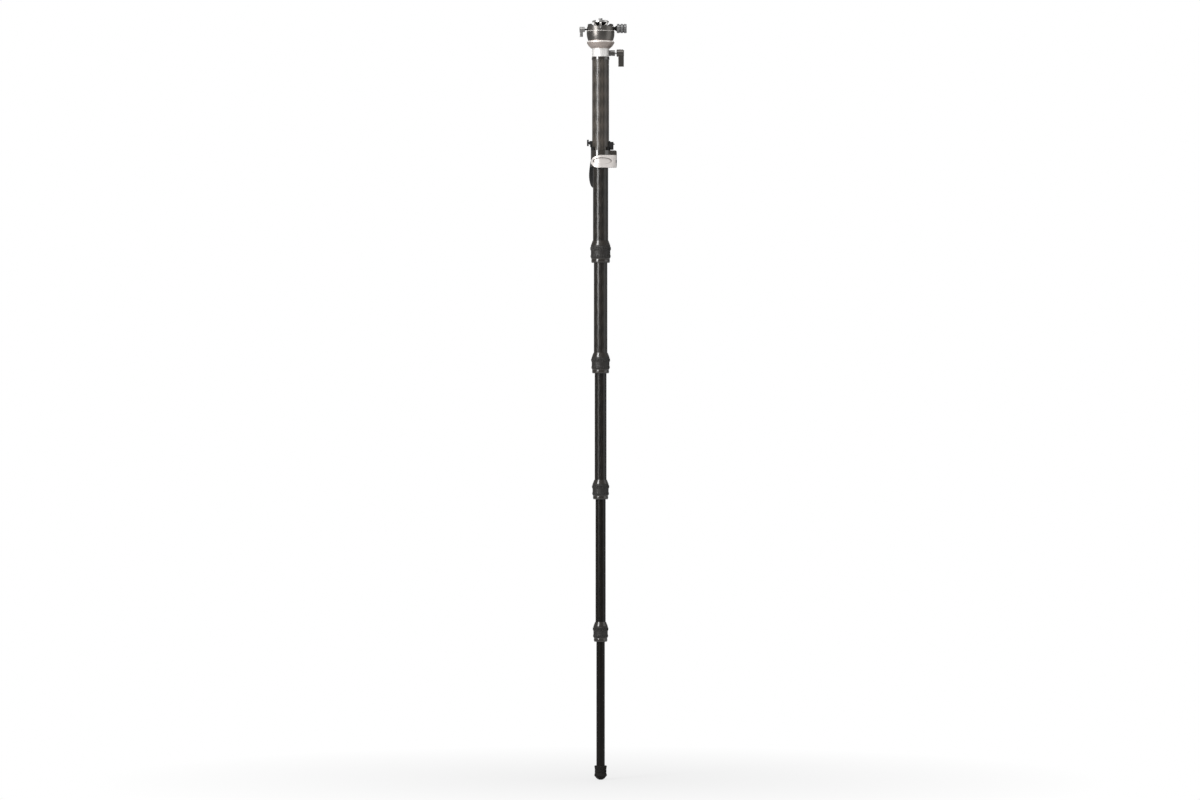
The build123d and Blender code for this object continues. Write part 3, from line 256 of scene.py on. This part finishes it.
# Leg tubes: carbon fibre laid at a steep angle to both sides and lacquered. The crossing tows
# leave long leaf-shaped fields, which break the lamps' reflections into streaks. The lists go
# from the uppermost tube down to the lowest. The six tubes are one material, but the lists make
# the uppermost palest and glossiest and each lower one darker and duller: painted shade for the
# light that falls off lower down.
tow_length = 36 * mm
tows_round = [16, 14, 13, 11, 10, 8]
tow_warmth = [0.16, 0.2, 0.24, 0.28, 0.34, 0.34]
tow_dark_and_painted_shade = [0.020, 0.006, 0.005, 0.003, 0.002, 0.002]
tow_light_and_painted_shade = [0.095, 0.026, 0.020, 0.012, 0.008, 0.007]
tow_relief = 0.6 * mm
lacquer = [0.55, 0.5, 0.5, 0.4, 0.25, 0.2]
tow_gloss = [0.4, 0.35, 0.35, 0.28, 0.18, 0.14]
for number in range(len(tows_round)):
    carbon = Finish(f"carbon_fibre_{number + 1}")
    here, (x, y, z) = carbon.place()
    turn = x.math("ARCTAN2", y, x) / math.tau
    rising = turn * tows_round[number] + z / tow_length
    falling = turn * tows_round[number] - z / tow_length
    on_top = (rising * math.pi).sine() * (falling * math.pi).sine() > 0.0
    ridge_up = (rising * math.pi).sine().size() ** 0.5
    ridge_down = (falling * math.pi).sine().size() ** 0.5
    ridge = ridge_up * on_top + ridge_down * (1 - on_top)
    fibres = carbon.noise(here, scale=900.0, stretch=(1, 1, 0.03), detail=2.0)
    clouds = carbon.noise(here, scale=30.0, stretch=(1, 1, 0.35), detail=2.0)
    # Each lower tube takes darker tow colours, which is painted shade.
    dark = grey(tow_dark_and_painted_shade[number], tow_warmth[number])
    light = grey(tow_light_and_painted_shade[number], tow_warmth[number] * 1.2)
    share = (on_top * 0.35 + fibres * 0.45 + clouds * 0.3 - 0.2).clamped()
    carbon.shade(
        Base_Color=carbon.tint(share, dark, light),
        Roughness=0.28 + fibres * 0.14,
        Normal=carbon.bump(ridge * 0.8 + fibres * 0.2, strength=0.5, distance=tow_relief),
        Coat_Weight=lacquer[number],
        Coat_Roughness=0.12,
        Coat_IOR=1.5,
        Specular_IOR_Level=tow_gloss[number],
    )
    carbon.wear(f"leg_tube_{number + 1}")


def grained(name, colour, second, scale, roughness, spread, metallic=0.0, bump_mm=0.02,
            stretch=(1, 1, 1), coat=0.0, coat_ior=1.5, gloss=0.5):
    """A finish with a fine grain that changes its colour, its gloss and its surface."""
    finish = Finish(name)
    here, _ = finish.place()
    grain = finish.noise(here, scale, stretch)
    broad = finish.noise(here, scale / 14, (1, 1, 1), 2.0)
    share = (grain * 0.6 + broad * 0.7 - 0.15).clamped()
    finish.shade(
        Base_Color=finish.tint(share, colour, second),
        Metallic=metallic,
        Roughness=roughness + (grain - 0.5) * spread,
        Normal=finish.bump(grain, strength=0.35, distance=bump_mm * mm),
        Coat_Weight=coat,
        Coat_Roughness=0.1,
        Coat_IOR=coat_ior,
        Specular_IOR_Level=gloss,
    )
    return finish


# Twist locks: gloss black turned rings with a moulded rubber grip between the cone and the bead.
# The grips are ribbed so that a cold hand can turn them.
lock_black = grained("lock_black", grey(0.010, 0.25), grey(0.018, 0.35), scale=420.0,
                     roughness=0.28, spread=0.06, bump_mm=0.003, coat=0.6, coat_ior=1.75)
grip_rubber = grained("grip_rubber", grey(0.012, 0.1), grey(0.028, 0.1), scale=700.0,
                      roughness=0.50, spread=0.2, bump_mm=0.04)
for number in range(1, 5):
    lock_black.wear(f"lock_ring_{number}")
    grip_rubber.wear(f"lock_grip_{number}")

# Hidden guides: the split collets and the thin shims are plain acetal, as are the head's liner
# and washer, and the ferrules are turned aluminium.
acetal = grained("acetal", grey(0.16), grey(0.22), scale=500.0, roughness=0.45, spread=0.1)
turned_silver = grained("turned_silver", grey(0.74, 0.02), grey(0.82, 0.02), scale=60.0,
                        roughness=0.28, spread=0.12, metallic=1.0, stretch=(1, 1, 40))
for number in range(1, 5):
    acetal.wear(f"lock_collet_{number}")
    turned_silver.wear(f"lock_ferrule_{number}")
for number in range(2, 7):
    acetal.wear(f"guide_shims_{number}")
acetal.wear("friction_liner", "pan_washer")

# Foot: one piece of moulded rubber, matt and grooved round its side. It is screwed on an
# aluminium plug inside the lowest tube.
foot_rubber = grained("foot_rubber", grey(0.012, 0.06), grey(0.028, 0.08), scale=500.0,
                      roughness=0.62, spread=0.2, bump_mm=0.08, gloss=0.1)
foot_rubber.wear("rubber_foot")
turned_silver.wear("foot_plug")

# Flip clamp: a gloss black split casting, with a silver painted lever across its front and
# steel for its pin, bolt and nut. The wall of the lever's dish and the floor beside it carry
# painted shade, darkest at the top, where the dish's upper wall would lie in shadow.
gloss_black = grained("gloss_black", grey(0.010, 0.25), grey(0.018, 0.35), scale=420.0,
                      roughness=0.24, spread=0.06, bump_mm=0.003, coat=0.9, coat_ior=1.9)
gloss_black.wear("clamp_casting", "tube_trim_ring")
lever_low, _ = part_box("clamp_lever")
# The dish is an ellipse in the lever's front, and its painted shade is kept off the lever's back.
dish_side = 4.0 * mm
dish_level = lever_low[2] + 15.5 * mm
dish_long = 22.5 * mm
dish_tall = 8.1 * mm
dish_end = 1.01
wall_from = 0.8
wall_fade = 0.12
lever_back = 25.6 * mm
lever_silver = Finish("lever_silver")
here, (x, y, z) = lever_silver.place()
grain = lever_silver.noise(here, scale=260.0)
above = (z - dish_level) / dish_tall
off_middle = (((x - dish_side) / dish_long) ** 2.0 + above * above) ** 0.5
on_front = ((x * x + y * y) ** 0.5 > lever_back) * (dish_end - off_middle > 0.0)
shade_toward_top = (above * 0.4 + 0.6).clamped()
painted_dish_shade = ((off_middle - wall_from) / wall_fade).clamped() * on_front * shade_toward_top
silver = lever_silver.tint(grain, (0.74, 0.69, 0.66, 1), (0.80, 0.76, 0.73, 1))
lever_silver.shade(
    # The dark tint is painted shade on the dish's wall and the floor beside it.
    Base_Color=lever_silver.tint(painted_dish_shade, silver, (0.14, 0.12, 0.11, 1)),
    Metallic=0.45,
    Roughness=0.39 + grain * 0.1,
    Normal=lever_silver.bump(grain, strength=0.35, distance=0.004 * mm),
)
lever_silver.wear("clamp_lever")
steel = grained("machined_steel", grey(0.50), grey(0.60), scale=90.0, roughness=0.3,
                spread=0.15, metallic=1.0, stretch=(1, 1, 30))
steel.wear("clamp_pin", "clamp_bolt", "clamp_nut", "strap_pin", "pan_bolt", "socket_retainer",
           "release_screw")

# Camera screw: rolled steel with sixteen turns of thread to the inch. The part has a plain
# cylinder, and the thread is relief in the material, whose roots are painted darker than its
# crests: painted shade in the grooves.
thread_pitch = 25.4 / 16 * mm
thread_relief = 0.5 * mm
threaded_steel = Finish("threaded_steel")
here, (x, y, z) = threaded_steel.place()
grain = threaded_steel.noise(here, scale=400.0)
crest_height_and_root_shade = ((z / thread_pitch + x.math("ARCTAN2", y, x) / math.tau + 1).fraction() - 0.5).size()
threaded_steel.shade(
    # Darker roots and lighter crests are painted shade.
    Base_Color=threaded_steel.tint(crest_height_and_root_shade * 2, grey(0.30), grey(0.62)),
    Metallic=1.0,
    Roughness=0.26 + grain * 0.1,
    Normal=threaded_steel.bump(crest_height_and_root_shade, strength=0.9, distance=thread_relief),
)
threaded_steel.wear("camera_screw")

# Shroud: one black nylon moulding over the clamp, with the accessory block. The thumb screw at
# its left is moulded in the same nylon.
moulded_black = grained("moulded_black", grey(0.006), grey(0.014), scale=800.0, roughness=0.5,
                        spread=0.2, bump_mm=0.05, gloss=0.35)
moulded_black.wear("clamp_shroud", "shroud_thumb_screw")

# Collar and bowl: turned aluminium, the collar bright silver and the bowl champagne. The bowl's
# rim carries a painted highlight, a near-white band where its top faces the lamp above, which
# lies between two rows of the photograph.
collar_silver = grained("collar_silver", grey(0.94, 0.02), grey(0.98, 0.02), scale=120.0,
                        roughness=0.44, spread=0.08, metallic=0.45, bump_mm=0.003,
                        stretch=(1, 1, 30))
collar_silver.wear("neck_collar")
rim_highlight_low_pixel = 42.6
rim_highlight_high_pixel = 41.0
rim_highlight_low = (foot_pixel - rim_highlight_low_pixel) * pixel_mm * mm
rim_highlight_high = (foot_pixel - rim_highlight_high_pixel) * pixel_mm * mm
champagne = Finish("champagne")
here, (_, _, z) = champagne.place()
grain = champagne.noise(here, scale=160.0, stretch=(1, 1, 30))
painted_rim_highlight = (z > rim_highlight_low) * (rim_highlight_high - z > 0.0)
satin = champagne.tint(grain, (0.43, 0.37, 0.335, 1), (0.53, 0.46, 0.42, 1))
champagne.shade(
    # The near-white band is a painted highlight on the rim's upward face.
    Base_Color=champagne.tint(painted_rim_highlight, satin, (0.95, 0.90, 0.86, 1)),
    Metallic=0.6,
    Roughness=0.38 + grain * 0.08,
    Normal=champagne.bump(grain, strength=0.3, distance=0.004 * mm),
)
champagne.wear("base_bowl")

# Cup: turned aluminium, satin black anodised. The half ball that levels the platform has the
# same finish and sits above the cup, in the pan ring.
black_anodised = grained("black_anodised", grey(0.145, 0.06), grey(0.185, 0.07), scale=600.0,
                         roughness=0.33, spread=0.06, metallic=0.95, bump_mm=0.003)
black_anodised.wear("cup_housing", "levelling_half_ball")

# Release lever, its boss and the knob's shaft: darker than the cup. The boss is as glossy as
# the clamp, and the shaft is blackened steel.
lever_black = grained("lever_black", grey(0.075, 0.08), grey(0.10, 0.1), scale=500.0,
                      roughness=0.34, spread=0.08, metallic=0.8, bump_mm=0.01, coat=0.4)
lever_black.wear("release_lever")
gloss_black.wear("release_boss")
screw_black = grained("screw_black", grey(0.010, 0.1), grey(0.018, 0.1), scale=500.0,
                      roughness=0.42, spread=0.1, metallic=0.3, gloss=0.3)
screw_black.wear("level_screw")

# Pan ring: black anodised like the cup, with a white index dot painted at its front, which
# points at the scale below it.
dot_pixel = 28
dot_radius = 1.3 * mm
dot_height = (foot_pixel - dot_pixel) * pixel_mm * mm
ring_black = Finish("pan_ring_black")
here, (x, y, z) = ring_black.place()
grain = ring_black.noise(here, scale=600.0)
dot = (dot_radius - (x * x + (z - dot_height) ** 2.0) ** 0.5 > 0.0) * (0.0 - y > 0.0)
ring_black.shade(
    Base_Color=ring_black.tint(dot, grey(0.17, 0.06), grey(0.85)),
    Metallic=(1 - dot) * 0.9,
    Roughness=0.31 + grain * 0.05,
    Normal=ring_black.bump(grain, strength=0.3, distance=0.003 * mm),
)
ring_black.wear("pan_ring")

# Scale ring: a pale ring with a dark tick every five degrees, for turning the head by a known
# angle.
ticks_round = 72
tick_share = 0.16
scale_silver = Finish("scale_silver")
here, (x, y, _) = scale_silver.place()
grain = scale_silver.noise(here, scale=300.0)
turn = x.math("ARCTAN2", y, x) / math.tau
tick = (turn * ticks_round + ticks_round).fraction() > 1 - tick_share
scale_silver.shade(
    Base_Color=scale_silver.tint(tick, grey(0.95, 0.05), grey(0.12)),
    Metallic=(1 - tick) * 0.2,
    Roughness=0.36 + grain * 0.08,
    Normal=scale_silver.bump(grain, strength=0.3, distance=0.01 * mm),
)
scale_silver.wear("degree_scale_ring")

# Knob and pan lever: grey anodised aluminium. The end of the pan lever's shaft, beside the pan
# ring, is black.
knob_grey = grained("knob_grey", grey(0.20), grey(0.28), scale=300.0, roughness=0.32,
                    spread=0.12, metallic=0.8)
knob_grey.wear("level_knob")
ring_low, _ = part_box("pan_ring")
shaft_length = 4.6 * mm
shaft_end = ring_low[0] - shaft_length
grey_anodised = Finish("grey_anodised")
here, (x, _, _) = grey_anodised.place()
grain = grey_anodised.noise(here, scale=300.0)
on_shaft = x > shaft_end
anodised = grey_anodised.tint(grain, grey(0.26, 0.02), grey(0.34, 0.02))
grey_anodised.shade(
    Base_Color=grey_anodised.tint(on_shaft, anodised, grey(0.02)),
    Metallic=0.8,
    Roughness=0.30 + grain * 0.1,
    Normal=grey_anodised.bump(grain, strength=0.3, distance=0.02 * mm),
)
grey_anodised.wear("pan_lever")

# Platform: a bright disc on a ribbed neck, with a thin rubber pad. The neck is one casting, whose
# ribs' outer edges are turned bright and lean outwards; the rest is painted near black, painted
# shade for the deep gaps between the ribs.
turned_silver.wear("platform_disc")
neck_low, neck_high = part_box("platform_neck")
rib_foot = 8.5 * mm
rib_head = 18.9 * mm
rib_bright = 2.6 * mm
rib_start = neck_low[2] + 1.1 * mm
rib_rise = (neck_high[2] - neck_low[2]) - 3.7 * mm
neck_foot = neck_low[2] + 2.4 * mm
ribbed = Finish("ribbed_neck")
here, (x, y, z) = ribbed.place()
away = (x * x + y * y) ** 0.5
climb = ((z - rib_start) / rib_rise).clamped()
rib_edge = rib_foot + climb * (rib_head - rib_foot)
bare_metal = (away - rib_edge > -rib_bright) * (z > neck_foot)
grain = ribbed.noise(here, scale=300.0)
ribbed.shade(
    # The near black is painted shade on the neck's core and the ribs' inner parts.
    Base_Color=ribbed.tint(bare_metal, grey(0.005), grey(0.98, 0.03)),
    Metallic=bare_metal * 0.15,
    Roughness=0.5 - bare_metal * 0.08 + grain * 0.06,
    Normal=ribbed.bump(grain, strength=0.3, distance=0.03 * mm),
)
ribbed.wear("platform_neck")
pad_rubber = grained("pad_rubber", grey(0.020), grey(0.035), scale=600.0, roughness=0.7,
                     spread=0.2, bump_mm=0.05)
pad_rubber.wear("platform_pad")

# Lock shoes: two short turned brass plugs, hidden in the pan ring. The knob presses one on the
# half ball, and the pan lever the other on the cup's spigot.
brass = grained("turned_brass", (0.55, 0.38, 0.13, 1), (0.62, 0.45, 0.18, 1), scale=200.0,
                roughness=0.3, spread=0.1, metallic=1.0)
brass.wear("lock_shoes")


def skin(bm, pairs):
    """Four-sided faces between the two rings of vertices of each pair."""
    for before, ring in pairs:
        for side in range(len(ring)):
            after = (side + 1) % len(ring)
            bm.faces.new([before[side], before[after], ring[after], ring[side]])


# Wrist strap: one black webbing band that hangs from the pin in a long loop, whose corners are
# cut four times until it is smooth. Its two halves meet under the pin.
strap_turn = math.radians(107.5)
outward = Vector((math.cos(strap_turn), math.sin(strap_turn), 0))
across = Vector((math.sin(strap_turn), -math.cos(strap_turn), 0))
pin_low, pin_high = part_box("strap_pin")
pin_level = (pin_low[2] + pin_high[2]) / 2
band_width = 20 * mm
band_thickness = 1.8 * mm
loop = [(27.55, -5), (27.55, 3.45), (34.45, 3.45), (34.45, -5), (34.6, -14), (38.5, -27),
        (52, -46), (59.3, -64), (59.6, -78), (50.8, -93), (33, -102.2), (27.6, -97.5),
        (27.3, -60), (27.5, -20)]
for _ in range(4):
    cut = []
    for index, (u, v) in enumerate(loop):
        next_u, next_v = loop[(index + 1) % len(loop)]
        cut.append((u * 0.75 + next_u * 0.25, v * 0.75 + next_v * 0.25))
        cut.append((u * 0.25 + next_u * 0.75, v * 0.25 + next_v * 0.75))
    loop = cut
line = [outward * (u * mm) + Vector((0, 0, pin_level + v * mm)) for u, v in loop]
loop_length = sum((line[index] - line[index - 1]).length for index in range(len(line)))
edge = [(-0.5, -0.22), (-0.49, -0.42), (-0.46, -0.5), (0.46, -0.5), (0.49, -0.42), (0.5, -0.22),
        (0.5, 0.22), (0.49, 0.42), (0.46, 0.5), (-0.46, 0.5), (-0.49, 0.42), (-0.5, 0.22)]
bm = bmesh.new()
rings = []
for index, point in enumerate(line):
    along = (line[(index + 1) % len(line)] - line[index - 1]).normalized()
    proud = along.cross(across)
    rings.append([bm.verts.new(point + across * (a * band_width) + proud * (b * band_thickness))
                  for a, b in edge])
skin(bm, zip([rings[-1]] + rings[:-1], rings))
bmesh.ops.recalc_face_normals(bm, faces=bm.faces)
strap = link_mesh("strap_webbing", bm)
for face in strap.data.polygons:
    face.use_smooth = True
weave_pitch = 1.7 * mm
weave_relief = 0.4 * mm
webbing = Finish("webbing")
here, (x, y, z) = webbing.place()
side_way = x * across[0] + y * across[1]
rib = (side_way / weave_pitch * math.tau).sine()
sway = (side_way / weave_pitch / 2 * math.tau).sine() * 1.2
pick = (z / weave_pitch * math.tau + sway).sine()
weave = rib * pick * 0.5 + 0.5
fuzz = webbing.noise(here, scale=1500.0)
# The colour is darker in the weave's hollows, which is painted shade, and varies at random with
# the fuzz.
weave_shade_and_fuzz = (weave * 0.6 + fuzz * 0.5 - 0.1).clamped()
webbing.shade(
    Base_Color=webbing.tint(weave_shade_and_fuzz, grey(0.004), grey(0.018)),
    Roughness=0.72 + fuzz * 0.15,
    Normal=webbing.bump(weave * 0.8 + fuzz * 0.2, strength=0.7, distance=weave_relief),
    Sheen_Weight=0.15,
    Sheen_Roughness=0.4,
)
webbing.wear("strap_webbing")
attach(strap, "strap")
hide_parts("wrist_strap")

# Strap keeper: a moulded black sleeve under the pin, which holds both halves of the webbing
# together. It is a box with round corners, a little narrower at both ends.
keeper_height = 9 * mm
keeper_level = pin_level - 12.5 * mm
keeper_out = 31.1 * mm
keeper_half_width = 11.6 * mm
keeper_half_depth = 5.6 * mm
keeper_corner = 0.35
keeper_steps = 32
keeper_rows = [(-0.5, 0.90), (-0.44, 0.97), (-0.36, 1.0), (0.36, 1.0), (0.44, 0.97), (0.5, 0.90)]
keeper_outline = []
for step in range(keeper_steps):
    turn = step / keeper_steps * math.tau
    cosine, sine = math.cos(turn), math.sin(turn)
    keeper_outline.append(
        (math.copysign(abs(cosine) ** keeper_corner, cosine) * keeper_half_width,
         math.copysign(abs(sine) ** keeper_corner, sine) * keeper_half_depth))
bm = bmesh.new()
rings = []
for level, share in keeper_rows:
    height = Vector((0, 0, keeper_level + level * keeper_height))
    rings.append([bm.verts.new(outward * (keeper_out + b * share) + across * (a * (share + 1) / 2)
                               + height)
                  for a, b in keeper_outline])
skin(bm, zip(rings, rings[1:]))
bm.faces.new(rings[0])
bm.faces.new(rings[-1])
bmesh.ops.recalc_face_normals(bm, faces=bm.faces)
keeper = link_mesh("strap_keeper", bm)
moulded_black.wear("strap_keeper")
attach(keeper, "strap")
